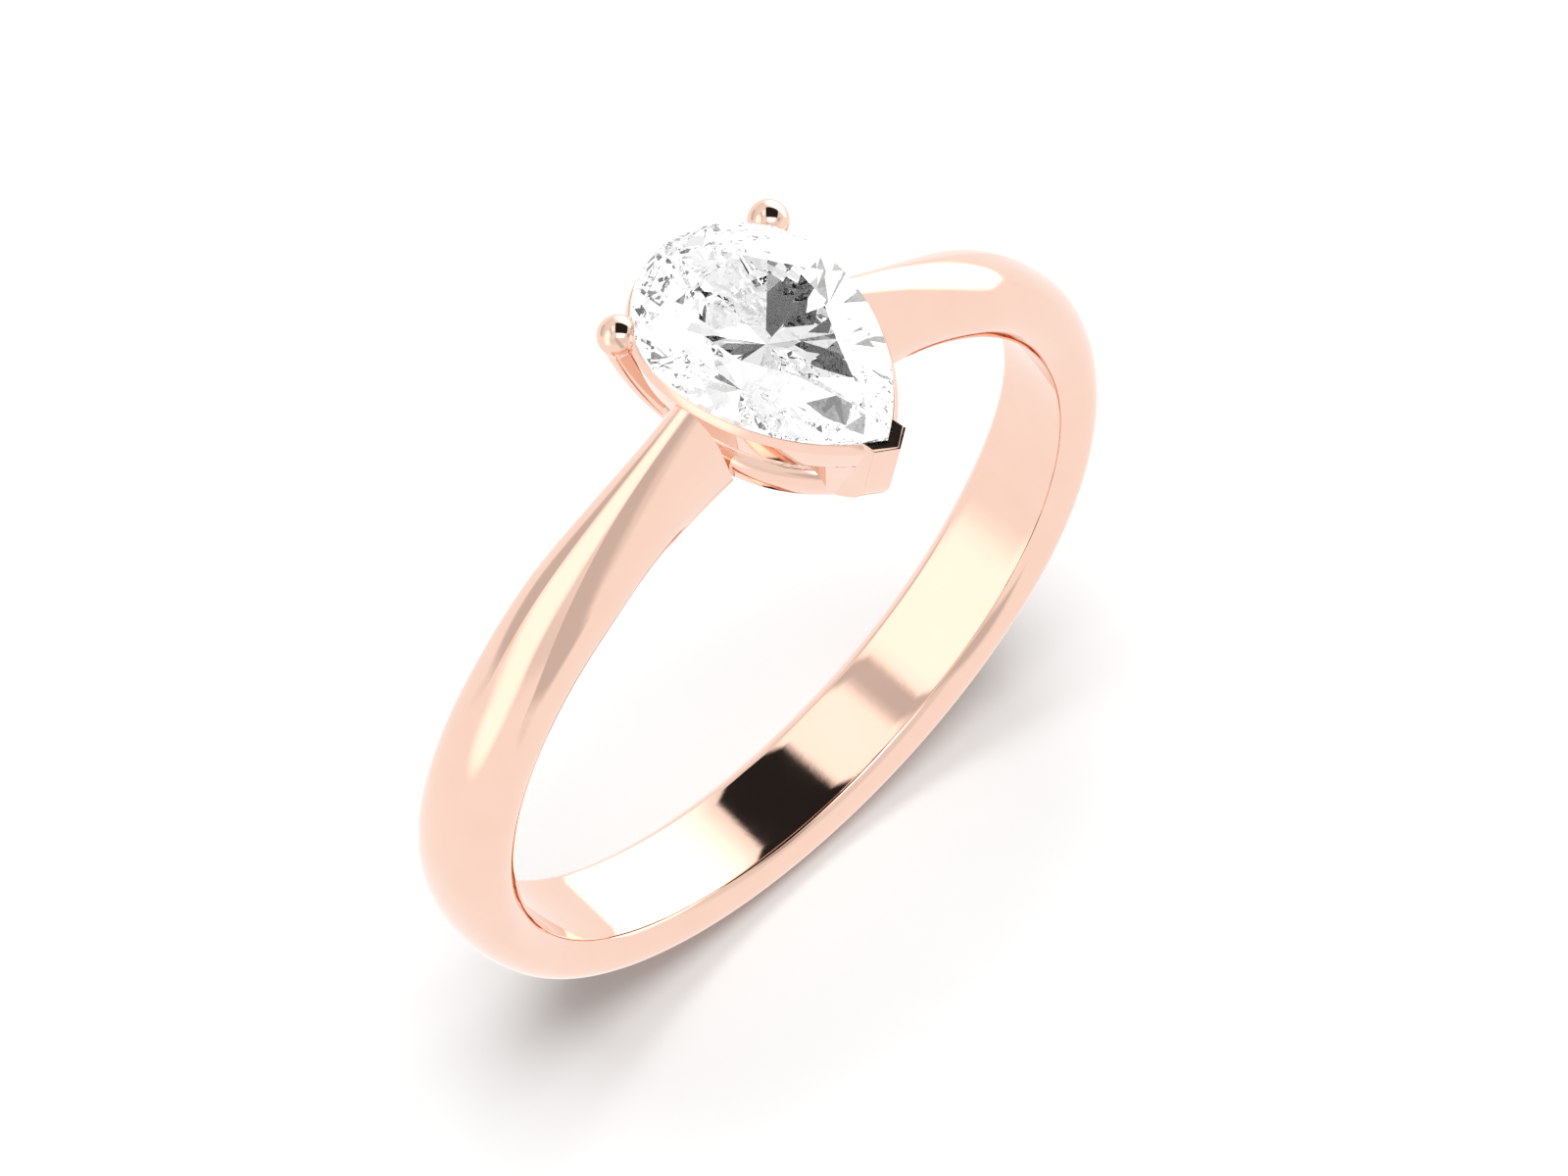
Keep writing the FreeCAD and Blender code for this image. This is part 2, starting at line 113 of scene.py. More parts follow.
class Pear:
    """A pear outline: half an ellipse for the round end and one long arc down each side."""

    def __init__(self, half, wide_y, tip_y, inset=0.0):
        length = wide_y - tip_y
        self.arc = (half * half + length * length) / (2 * half) - inset
        self.half = half - inset
        self.wide_y = wide_y
        self.end = half * ROUND_END_STRETCH - inset
        self.tip_y = wide_y - math.sqrt(self.arc**2 - (self.arc - self.half) ** 2)

    def side_x(self, y):
        """Half width of the outline between the widest line and the tip."""
        return math.sqrt(max(self.arc**2 - (y - self.wide_y) ** 2, 0)) - (self.arc - self.half)

    def holds(self, x, y):
        """Whether a place lies inside the outline."""
        if y > self.wide_y:
            return (x / self.half) ** 2 + ((y - self.wide_y) / self.end) ** 2 < 1
        return y > self.tip_y and abs(x) < self.side_x(y)

    def points(self, count):
        """Places along the outline: the right side from the tip, the round end, and the left side."""
        spots = []
        reach = math.asin((self.wide_y - self.tip_y) / self.arc)
        for step in range(count):
            turn = reach * (1 - step / count)
            x = self.arc * math.cos(turn) - (self.arc - self.half)
            spots.append((x, self.wide_y - self.arc * math.sin(turn)))
        for step in range(count):
            turn = math.pi * step / count
            spots.append((self.half * math.cos(turn), self.wide_y + self.end * math.sin(turn)))
        for step in range(count + 1):
            turn = reach * step / count
            x = self.arc * math.cos(turn) - (self.arc - self.half)
            spots.append((-x, self.wide_y - self.arc * math.sin(turn)))
        return spots[:-1]


GALLERY_BASE_Z = 8.55
GALLERY_TOP_Z = 11.1
GALLERY_HALF, GALLERY_HALF_SLOPE = 1.82, 0.217
GALLERY_WIDE_Y, GALLERY_WIDE_SLOPE = 0.547, 0.06
GALLERY_TIP_Y, GALLERY_TIP_SLOPE = -2.73, -0.355


def gallery_outline(z, inset=0.0):
    """Outline of the tapering wall of the gallery at height z."""
    rise = z - GALLERY_BASE_Z
    half = GALLERY_HALF + GALLERY_HALF_SLOPE * rise
    wide_y = GALLERY_WIDE_Y + GALLERY_WIDE_SLOPE * rise
    tip_y = GALLERY_TIP_Y + GALLERY_TIP_SLOPE * rise
    return Pear(half, wide_y, tip_y, inset)


# ---------------------------------------------------------------- band

# Each pair of angles is where a change along the band starts and where it is complete.
FACE_HALF_BASE, FACE_HALF_HEAD = 1.11, 0.64
FACE_TAPER = (55, 155)
SIDE_HEIGHT = 0.65
SIDE_BULGE = 0.32
BULGE_FADE = (140, 170)
EDGE_ROUND = 0.09
EDGE_SPREAD, EDGE_LIFT = 0.44, 0.9

CROWN_BASE, CROWN_GAIN = 1.415, 0.115
CROWN_THICKENS = (80, 120)
SECTION_POWER, SECTION_GAIN = 2, 0.5
SECTION_SQUARES = (105, 145)

# The shoulder's top runs up a straight line, which passes through one point beside the head.
RAMP_SLOPE = 0.7
RAMP_X, RAMP_Z = 2.2, 11.07
RAMP_FIRST_ANGLE = 100
RAMP_JOINS = (122, 162)

RIB_SHIFT = -0.34
RIB_CENTRES = (122, 158)
RIB_HALF, RIB_NARROWING = 0.48, 0.36
RIB_NARROWS = (128, 165)
FLUTE_RATE = 0.3
FLUTE_DEEPENS = (120, 130)

BAND_ROWS = 321
BAND_SHARP_ANGLE = 28
CREASE_START = 0.80
FLOOR_LINES, EDGE_LINES, SIDE_LINES, FLANK_LINES, RIB_LINES = 10, 5, 8, 30, 16


def face_half_width(angle):
    """Half the width of the band's inner face."""
    return FACE_HALF_BASE + (FACE_HALF_HEAD - FACE_HALF_BASE) * ease(angle, *FACE_TAPER)


def half_width(angle):
    """Half the greatest width of the band."""
    return face_half_width(angle) + SIDE_BULGE * (1 - ease(angle, *BULGE_FADE))


def crown_height(angle):
    """Height of the crown of the band over the bore."""
    base = CROWN_BASE + CROWN_GAIN * ease(angle, *CROWN_THICKENS)
    turn = np.radians(np.maximum(angle, RAMP_FIRST_ANGLE))
    line = (RAMP_Z + RAMP_SLOPE * RAMP_X) / (RAMP_SLOPE * np.sin(turn) - np.cos(turn))
    return base + (line - BORE_RADIUS - base) * long_ease(angle, *RAMP_JOINS)


def rib_edges(angle):
    """Where the rib's two edges lie across the band."""
    centre = RIB_SHIFT * (1 - ease(angle, *RIB_CENTRES))
    half = RIB_HALF - RIB_NARROWING * ease(angle, *RIB_NARROWS)
    return centre - half, centre + half


def top_height(angle, across):
    """Height of the outside of the band over the bore, at a place across it."""
    power = SECTION_POWER + SECTION_GAIN * ease(angle, *SECTION_SQUARES)
    rise = crown_height(angle) - SIDE_HEIGHT
    share = np.minimum(np.abs(across) / half_width(angle), 1.0)
    height = SIDE_HEIGHT + rise * (1 - share**power) ** (1 / power)
    low, high = rib_edges(angle)
    edge = np.where(across < low, low, np.where(across > high, high, across))
    edge = np.minimum(np.abs(edge) / half_width(angle), 0.999)
    fade = np.clip((np.arcsin(share) - np.arcsin(edge)) / (math.pi / 2 - np.arcsin(edge)), 0, 1)
    return height - FLUTE_RATE * fade * (1 - fade) ** 2 * ease(angle, *FLUTE_DEEPENS)


def band_columns():
    """The lines that run round the band, each a part of the section and a share along that part."""
    columns = [("floor", step / FLOOR_LINES) for step in range(FLOOR_LINES + 1)]
    columns += [("front_edge", step / EDGE_LINES) for step in range(1, EDGE_LINES)]
    columns += [("front_side", step / SIDE_LINES) for step in range(SIDE_LINES)]
    columns += [("low_flank", step / FLANK_LINES) for step in range(FLANK_LINES)]
    columns += [("rib", step / RIB_LINES) for step in range(RIB_LINES)]
    columns += [("high_flank", step / FLANK_LINES) for step in range(FLANK_LINES)]
    columns += [("back_side", step / SIDE_LINES) for step in range(SIDE_LINES + 1)]
    columns += [("back_edge", step / EDGE_LINES) for step in range(1, EDGE_LINES)]
    return columns


def edge_curve(share, face):
    """The small round where the inner face meets a side: from the face towards the side."""
    start, end = face - EDGE_ROUND, face + EDGE_SPREAD * EDGE_ROUND
    across = (1 - share) ** 2 * start + 2 * share * (1 - share) * face + share**2 * end
    return across, share**2 * (EDGE_LIFT * EDGE_ROUND)


def band_point(part, share, angle):
    """Across and height of one line of the band at an angle, or at many angles."""
    wide, face = half_width(angle), face_half_width(angle)
    if part == "floor":
        return (face - EDGE_ROUND) * (1 - 2 * share), 0 * wide
    if part == "front_edge":
        across, height = edge_curve(share, face)
        return -across, height + 0 * wide
    if part == "back_edge":
        across, height = edge_curve(1 - share, face)
        return across, height + 0 * wide
    if part in ("front_side", "back_side"):
        up = share if part == "front_side" else 1 - share
        start = EDGE_LIFT * EDGE_ROUND / SIDE_HEIGHT
        up = start + (1 - start) * up
        across = face + (wide - face) * np.sin(up * math.pi / 2)
        return (-across if part == "front_side" else across), SIDE_HEIGHT * up + 0 * wide
    low, high = rib_edges(angle)
    first = {"low_flank": -wide, "rib": low, "high_flank": high}[part]
    last = {"low_flank": low, "rib": high, "high_flank": wide}[part]
    turn = np.arcsin(np.clip(first / wide, -1, 1))
    turn = turn + (np.arcsin(np.clip(last / wide, -1, 1)) - turn) * share
    across = wide * np.sin(turn)
    return across, top_height(angle, across)


def band_place(part, share, signed_angle):
    """The place in space of one line of the band at a signed angle."""
    across, height = band_point(part, share, np.abs(signed_angle))
    turn = np.radians(signed_angle)
    radius = BORE_RADIUS + height
    return np.stack([radius * np.sin(turn), across, -radius * np.cos(turn)], axis=-1)


def end_angle(part, share):
    """The angle at which one line of the band meets the gallery wall, found by halving the gap."""
    near, far = 140.0, 178.0
    halvings = 30
    for _ in range(halvings):
        middle = (near + far) / 2
        x, y, z = band_place(part, share, np.array(middle))
        if gallery_outline(z).holds(x, y):
            far = middle
        else:
            near = middle
    return near


def make_band():
    """The shank and both shoulders as one polished surface that ends on the gallery wall."""
    columns = band_columns()
    shares = np.linspace(-1, 1, BAND_ROWS)
    lines = [band_place(part, share, shares * end_angle(part, share)) for part, share in columns]
    verts = np.stack(lines, axis=1).reshape(-1, 3)
    count = len(columns)
    faces = grid_faces(BAND_ROWS, count)
    faces.append(tuple(range(count))[::-1])
    faces.append(tuple((BAND_ROWS - 1) * count + column for column in range(count)))
    band = add_mesh("band", verts, faces, BAND_SHARP_ANGLE)
    for edge_line in ("rib", "high_flank"):
        mark_crease(band.data, columns.index((edge_line, 0.0)), count, shares)
    return band


def mark_crease(mesh, column, count, shares):
    """Keeps one line of the band sharp over its last stretch, at each end."""
    lines = {tuple(sorted(edge.vertices)): edge for edge in mesh.edges}
    for row in range(len(shares) - 1):
        if min(abs(shares[row]), abs(shares[row + 1])) < CREASE_START:
            continue
        pair = (row * count + column, (row + 1) * count + column)
        lines[pair].use_edge_sharp = True


# ---------------------------------------------------------------- gallery


RAIL_POINTS = 72
RAIL_SHARP_ANGLE = 32
RAIL_ROUND = 0.05
RAIL_DEPTH = 0.6
UPPER_RAIL_HEIGHT, LOWER_RAIL_HEIGHT = 0.8, 0.8
CHAMFER_ANGLE = 37
RIM_Z, RIM_INSET, RIM_ROUND = 11.25, 0.14, 0.02
SEAT_Z, SEAT_INSET = 11.22, 0.19
SEAT_FOOT_Z = 10.5
LOWER_RAIL_SIDE, LOWER_RAIL_ROUND = 0.3, 0.5


def make_rail(name, profile):
    """A pear-shaped rail: a closed profile of heights and insets carried round the gallery wall."""
    rings = [gallery_outline(z, inset).points(RAIL_POINTS) for z, inset in profile]
    verts = [(x, y, z) for ring, (z, _) in zip(rings, profile) for x, y in ring]
    faces = grid_faces(len(profile), len(rings[0]), wrap_rows=True)
    return add_mesh(name, verts, faces, RAIL_SHARP_ANGLE)


def arc(centre_z, centre_inset, radius, start, end, steps=8):
    """Profile points on an arc, by angle from the outward direction up towards +Z."""
    points = []
    for step in range(steps + 1):
        turn = math.radians(start + (end - start) * step / steps)
        points.append((centre_z + radius * math.sin(turn), centre_inset - radius * math.cos(turn)))
    return points


def make_rails():
    """Both rails, with small rounds on their edges and the seat sunk into the upper one."""
    low_z = GALLERY_TOP_Z - UPPER_RAIL_HEIGHT
    upper = arc(low_z + RAIL_ROUND, RAIL_ROUND, RAIL_ROUND, -90, 0)
    upper += arc(GALLERY_TOP_Z - RAIL_ROUND, RAIL_ROUND, RAIL_ROUND, 0, CHAMFER_ANGLE)
    upper += arc(RIM_Z, RIM_INSET, RIM_ROUND, CHAMFER_ANGLE, 120, 4)
    upper += [(SEAT_Z, SEAT_INSET), (SEAT_FOOT_Z, RAIL_DEPTH), (low_z, RAIL_DEPTH)]
    lower = arc(GALLERY_BASE_Z + RAIL_ROUND, RAIL_ROUND, RAIL_ROUND, -90, 0)
    lower += arc(GALLERY_BASE_Z + LOWER_RAIL_SIDE, LOWER_RAIL_ROUND, LOWER_RAIL_ROUND, 0, 90, 14)
    lower += [(GALLERY_BASE_Z + LOWER_RAIL_HEIGHT, RAIL_DEPTH), (GALLERY_BASE_Z, RAIL_DEPTH)]
    return make_rail("upper_rail", upper), make_rail("lower_rail", lower)


# ---------------------------------------------------------------- claws

CLAW_TIP = Vector((2.113, 2.188, 11.17))
CLAW_LEAN = math.radians(35.5)
CLAW_SWEEP = math.radians(21.5)
CLAW_BEND = 7.8
CLAW_RADIUS, CLAW_DOME = 0.41, 0.45
CLAW_OUTWARD = (0.813, 0.768)
CLAW_SPOKES = 48
CLAW_RINGS = 25
CLAW_SHARP_ANGLE = 50
DOME_STEP_ANGLE = math.radians(24)
DOME_STEP_RISE, DOME_STEP_LIP, DOME_STEP_RINGS = 0.05, 0.012, 4
FOOT_SHARE = 0.93
FOOT_RINGS = 4


def make_round_claw(name, side):
    """A bowed round wire that ends in a polished dome with a small step under it."""
    outward = Vector((side * CLAW_OUTWARD[0], CLAW_OUTWARD[1], 0)).normalized()
    up = Vector((0, 0, 1))
    across = outward.cross(up)
    tip = Vector((side * CLAW_TIP.x, CLAW_TIP.y, CLAW_TIP.z))
    top = CLAW_LEAN - CLAW_SWEEP
    centre = tip - (outward * math.cos(top) - up * math.sin(top)) * CLAW_BEND
    verts = []
    stations = claw_stations(top)
    for turn, along, radius in stations:
        out = outward * math.cos(turn) - up * math.sin(turn)
        way = outward * math.sin(turn) + up * math.cos(turn)
        middle = centre + out * CLAW_BEND + way * along
        for spoke in range(CLAW_SPOKES):
            angle = 2 * math.pi * spoke / CLAW_SPOKES
            spot = middle + (out * math.cos(angle) + across * side * math.sin(angle)) * radius
            if len(verts) < CLAW_SPOKES * FOOT_RINGS:
                spot.z = max(spot.z, GALLERY_BASE_Z)
            verts.append(spot)
    pole = centre + (outward * math.cos(top) - up * math.sin(top)) * CLAW_BEND
    pole += (outward * math.sin(top) + up * math.cos(top)) * CLAW_DOME
    verts.append(pole)
    faces = grid_faces(len(stations), CLAW_SPOKES)
    last = (len(stations) - 1) * CLAW_SPOKES
    faces += [(last + s, last + (s + 1) % CLAW_SPOKES, len(verts) - 1) for s in range(CLAW_SPOKES)]
    faces.append(tuple(range(CLAW_SPOKES))[::-1])
    return add_mesh(name, verts, faces, CLAW_SHARP_ANGLE)


def claw_stations(top):
    """The rings of a round claw, foot to dome: turn round the bend, distance past its end, radius."""
    rings = CLAW_RINGS - 1
    stations = []
    for step in range(CLAW_RINGS):
        stations.append((CLAW_LEAN - CLAW_SWEEP * FOOT_SHARE * step / rings, 0.0, CLAW_RADIUS))
    flare = CLAW_DOME * math.cos(DOME_STEP_ANGLE) + DOME_STEP_LIP - CLAW_RADIUS
    for step in range(1, DOME_STEP_RINGS + 1):
        share = step / DOME_STEP_RINGS
        along = -CLAW_DOME * math.sin(DOME_STEP_ANGLE) - DOME_STEP_RISE * (1 - share)
        stations.append((top, along, CLAW_RADIUS + flare * share * share * (3 - 2 * share)))
    for step in range(1, CLAW_RINGS):
        turn = -DOME_STEP_ANGLE + (math.pi / 2 + DOME_STEP_ANGLE) * step / CLAW_RINGS
        stations.append((top, CLAW_DOME * math.sin(turn), CLAW_DOME * math.cos(turn)))
    return stations


TIP_TOP_Z, TIP_SEAT_Z, TIP_BEND_Z = 11.4, 11.32, 9.8
TIP_Y = -3.86
TIP_SLOPE, TIP_CURVE = 0.15, 0.5
TIP_WALL, TIP_THICKENING, TIP_EDGE_WALL = 0.35, 0.15, 0.075
ARM_REACH, ARM_INNER_REACH = 0.45, 0.42
ARM_ANGLE = math.radians(56.5)
TIP_BEND_LEVELS = 12
TIP_POINTS = 6
SOFT_EDGE = 0.015


def make_tip_claw():
    """The claw at the point: two flat arms that meet in a corner, bevelled down to the stone."""
    back = ARM_REACH / math.tan(ARM_ANGLE)
    bend_height = TIP_BEND_Z - GALLERY_BASE_Z
    levels = [GALLERY_BASE_Z + bend_height * s / TIP_BEND_LEVELS for s in range(TIP_BEND_LEVELS + 1)]
    levels += [TIP_SEAT_Z, TIP_TOP_Z]
    verts = []
    for z in levels:
        bend = max(TIP_BEND_Z - z, 0.0)
        corner = TIP_Y + TIP_SLOPE * (TIP_TOP_Z - z) + TIP_CURVE * bend * bend
        wall = TIP_EDGE_WALL if z == TIP_TOP_Z else TIP_WALL + TIP_THICKENING * (TIP_TOP_Z - z)
        verts += [
            (0, corner, z),
            (ARM_REACH, corner + back, z),
            (ARM_INNER_REACH, corner + back + wall, z),
            (0, corner + wall, z),
            (-ARM_INNER_REACH, corner + back + wall, z),
            (-ARM_REACH, corner + back, z),
        ]
    faces = grid_faces(len(levels), TIP_POINTS)
    last = TIP_POINTS * (len(levels) - 1)
    faces += [(0, 3, 2, 1), (0, 5, 4, 3)]
    faces += [(last, last + 1, last + 2, last + 3), (last, last + 3, last + 4, last + 5)]
    claw = add_mesh("tip_claw_polished", verts, faces)
    claw.data.materials.append(gold)
    # The upward bevel faces between seat and top take a near-black second material: painted shade for the
    # dark recess by the stone.
    claw.data.materials.append(painted_recess_shade())
    for face in claw.data.polygons:
        height = face.center.z / MM
        if TIP_SEAT_Z < height < TIP_TOP_Z - 0.01 and face.normal.z > 0.5:
            face.material_index = 1
    soften(claw, SOFT_EDGE)
    return claw


def soften(thing, width):
    """Rounds the sharp edges of a piece, as polishing does. Width in millimetres."""
    bevel = thing.modifiers.new("soft_edges", "BEVEL")
    bevel.width = width * MM
    bevel.segments = 3
    bevel.limit_method = "ANGLE"
    bevel.angle_limit = math.radians(28)
    bevel.harden_normals = True


# ---------------------------------------------------------------- materials


def new_material(name):
    """A material with node access to its one Principled shader."""
    material = bpy.data.materials.new(name)
    material.use_nodes = True
    return material, material.node_tree.nodes, material.node_tree.links


def add_noise(nodes, links, scale, detail=2.0, in_object=True):
    """An even noise, in the object's own space unless told otherwise."""
    noise = nodes.new("ShaderNodeTexNoise")
    noise.inputs["Scale"].default_value = scale
    noise.inputs["Detail"].default_value = detail
    if in_object:
        place = nodes.new("ShaderNodeTexCoord")
        links.new(place.outputs["Object"], noise.inputs["Vector"])
    return noise.outputs["Fac"]


def tint(nodes, links, noise, low, high, span=(0.0, 1.0)):
    """Feeds the base colour from a noise: one colour at the low end of a span, another at the high."""
    tone = nodes.new("ShaderNodeValToRGB")
    for stop, position, colour in zip(tone.color_ramp.elements, span, (low, high)):
        stop.position = position
        stop.color = colour + (1,)
    links.new(noise, tone.inputs["Fac"])
    links.new(tone.outputs["Color"], nodes["Principled BSDF"].inputs["Base Color"])


def haze(nodes, links, noise, low, high, span=(0.0, 1.0)):
    """Feeds the roughness from a noise, between two values over a span."""
    gloss = nodes.new("ShaderNodeMapRange")
    names = ("From Min", "From Max", "To Min", "To Max")
    for name, value in zip(names, span + (low, high)):
        gloss.inputs[name].default_value = value
    links.new(noise, gloss.inputs["Value"])
    links.new(gloss.outputs["Result"], nodes["Principled BSDF"].inputs["Roughness"])


def rose_gold():
    """Mirror-polished rose gold: faint haze and hairline marks left by the polishing wheel."""
    material, nodes, links = new_material("rose_gold_polished")
    shader = nodes["Principled BSDF"]
    shader.inputs["Metallic"].default_value = 1.0
    clouds = add_noise(nodes, links, scale=900.0, detail=5.0)
    tint(nodes, links, clouds, (0.885, 0.61, 0.495), (0.905, 0.63, 0.515), span=(0.3, 0.7))
    haze(nodes, links, clouds, 0.035, 0.075, span=(0.3, 0.7))
    bump = nodes.new("ShaderNodeBump")
    bump.inputs["Strength"].default_value = 0.02
    bump.inputs["Distance"].default_value = 0.00002
    links.new(add_noise(nodes, links, scale=5000.0, detail=3.0), bump.inputs["Height"])
    links.new(bump.outputs["Normal"], shader.inputs["Normal"])
    return material


def painted_recess_shade():
    """Painted shade: near-black gold on the bevel in the recess between the pointed claw and the stone."""
    material, nodes, links = new_material("rose_gold_painted_shade")
    shader = nodes["Principled BSDF"]
    shader.inputs["Metallic"].default_value = 1.0
    shader.inputs["Roughness"].default_value = 0.3
    tint(nodes, links, add_noise(nodes, links, scale=900.0), (0.012, 0.009, 0.008), (0.03, 0.02, 0.017))
    return material


def diamond():
    """A clear stone with diamond's high refraction and the faintest haze on its facets."""
    material, nodes, links = new_material("diamond_clear")
    shader = nodes["Principled BSDF"]
    shader.inputs["Base Color"].default_value = (1, 1, 1, 1)
    shader.inputs["Transmission Weight"].default_value = 1.0
    shader.inputs["IOR"].default_value = 2.417
    haze(nodes, links, add_noise(nodes, links, scale=1500.0), 0.0, 0.004)
    return material


def floor_material():
    """Matt white studio floor with a trace of unevenness."""
    material, nodes, links = new_material("pale_floor")
    shader = nodes["Principled BSDF"]
    shader.inputs["Roughness"].default_value = 0.9
    shader.inputs["Specular IOR Level"].default_value = 0.0
    grain = add_noise(nodes, links, scale=40.0, in_object=False)
    tint(nodes, links, grain, (0.74, 0.74, 0.74), (0.77, 0.77, 0.77))
    return material


# ---------------------------------------------------------------- pieces

gold, glass = rose_gold(), diamond()

upper_rail, lower_rail = make_rails()
made = [
    (make_band(), ("shank", "left_shoulder", "right_shoulder")),
    (upper_rail, ("upper_gallery_rail",)),
    (lower_rail, ("lower_gallery_rail",)),
    (make_round_claw("left_claw_polished", -1), ("left_claw",)),
    (make_round_claw("right_claw_polished", 1), ("right_claw",)),
    (make_tip_claw(), ("tip_claw",)),
]
# Light that leaves the stone passes the metal, which keeps it free of pink. The claws and the upper
# rail are left out of mirror reflections too.
for piece, names in made:
    if not piece.data.materials:
        piece.data.materials.append(gold)
    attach(piece, "root")
    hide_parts(*names)
    piece.visible_transmission = False
    piece.visible_glossy = "claw" not in piece.name and piece is not upper_rail

for name in ("left_tip_gusset", "right_tip_gusset"):
    node = frame["nodes"][name]
    node.data.materials.clear()
    node.data.materials.append(gold)
    node.visible_transmission = False
stone = frame["nodes"]["pear_diamond"]
stone.data.materials.clear()
stone.data.materials.append(glass)

# ---------------------------------------------------------------- floor, light and camera

# The camera looks at a point near the middle of the bore. Its azimuth is measured from -Y, and its
# place is given along its own right, up and backward directions, in bore radii.
AZIMUTH, ELEVATION = math.radians(-43.73), math.radians(58.59)
CAMERA_RIGHT, CAMERA_UP, CAMERA_BACK = 0.040, 0.093, 10.87
CAMERA_LENS, CAMERA_SENSOR = 93.48, 36.0
CAMERA_NEAR = 0.001

flat = math.cos(ELEVATION)
right = Vector((math.cos(AZIMUTH), math.sin(AZIMUTH), 0))
back = Vector((math.sin(AZIMUTH) * flat, -math.cos(AZIMUTH) * flat, math.sin(ELEVATION)))
up = back.cross(right)

camera_data = bpy.data.cameras.new("camera")
camera_data.sensor_width = CAMERA_SENSOR
camera_data.lens = CAMERA_LENS
camera_data.clip_start = CAMERA_NEAR
camera = bpy.data.objects.new("camera", camera_data)
bpy.context.scene.collection.objects.link(camera)
facing = Matrix((right, up, back)).transposed()
spot = (right * CAMERA_RIGHT + up * CAMERA_UP + back * CAMERA_BACK) * BORE_RADIUS * MM
camera.matrix_world = Matrix.Translation(spot) @ facing.to_4x4()
bpy.context.scene.camera = camera

FLOOR_RADIUS = 100
FLOOR_POINTS = 64


def make_floor():
    """A plain round floor at the lowest point of the ring, left out of reflections and of the stone."""
    floor_z = cad_box[0][2] / MM
    verts = [(0, 0, floor_z)]
    for step in range(FLOOR_POINTS):
        angle = 2 * math.pi * step / FLOOR_POINTS
        verts.append((FLOOR_RADIUS * math.cos(angle), FLOOR_RADIUS * math.sin(angle), floor_z))
    faces = [(0, 1 + step, 1 + (step + 1) % FLOOR_POINTS) for step in range(FLOOR_POINTS)]
    floor = add_mesh("floor", verts, faces)
    floor.data.materials.append(floor_material())
    floor.visible_glossy = False
    floor.visible_transmission = False
    return floor


make_floor()

LAMP_DIRECTION = Vector((0.0, 0.03, 1.0))
LAMP_DISTANCE, LAMP_SIZE, LAMP_POWER = 0.6, 0.45, 4.7


def add_lamp():
    """A soft square lamp almost overhead, in metres and watts. It lights the floor only."""
    data = bpy.data.lights.new("fill", "AREA")
    data.shape = "RECTANGLE"
    data.size, data.size_y = LAMP_SIZE, LAMP_SIZE
    data.energy = LAMP_POWER
    lamp = bpy.data.objects.new("fill", data)
    bpy.context.scene.collection.objects.link(lamp)
    lamp.location = LAMP_DIRECTION.normalized() * LAMP_DISTANCE
    lamp.rotation_euler = LAMP_DIRECTION.to_track_quat("Z", "Y").to_euler()
    lamp.visible_camera = False
    lamp.visible_glossy = False
    lamp.visible_transmission = False


add_lamp()


def towards(azimuth, elevation):
    """A direction from its azimuth, measured from +X, and its elevation."""
    turn, tilt = math.radians(azimuth), math.radians(elevation)
    return Vector((math.cos(turn) * math.cos(tilt), math.sin(turn) * math.cos(tilt), math.sin(tilt)))


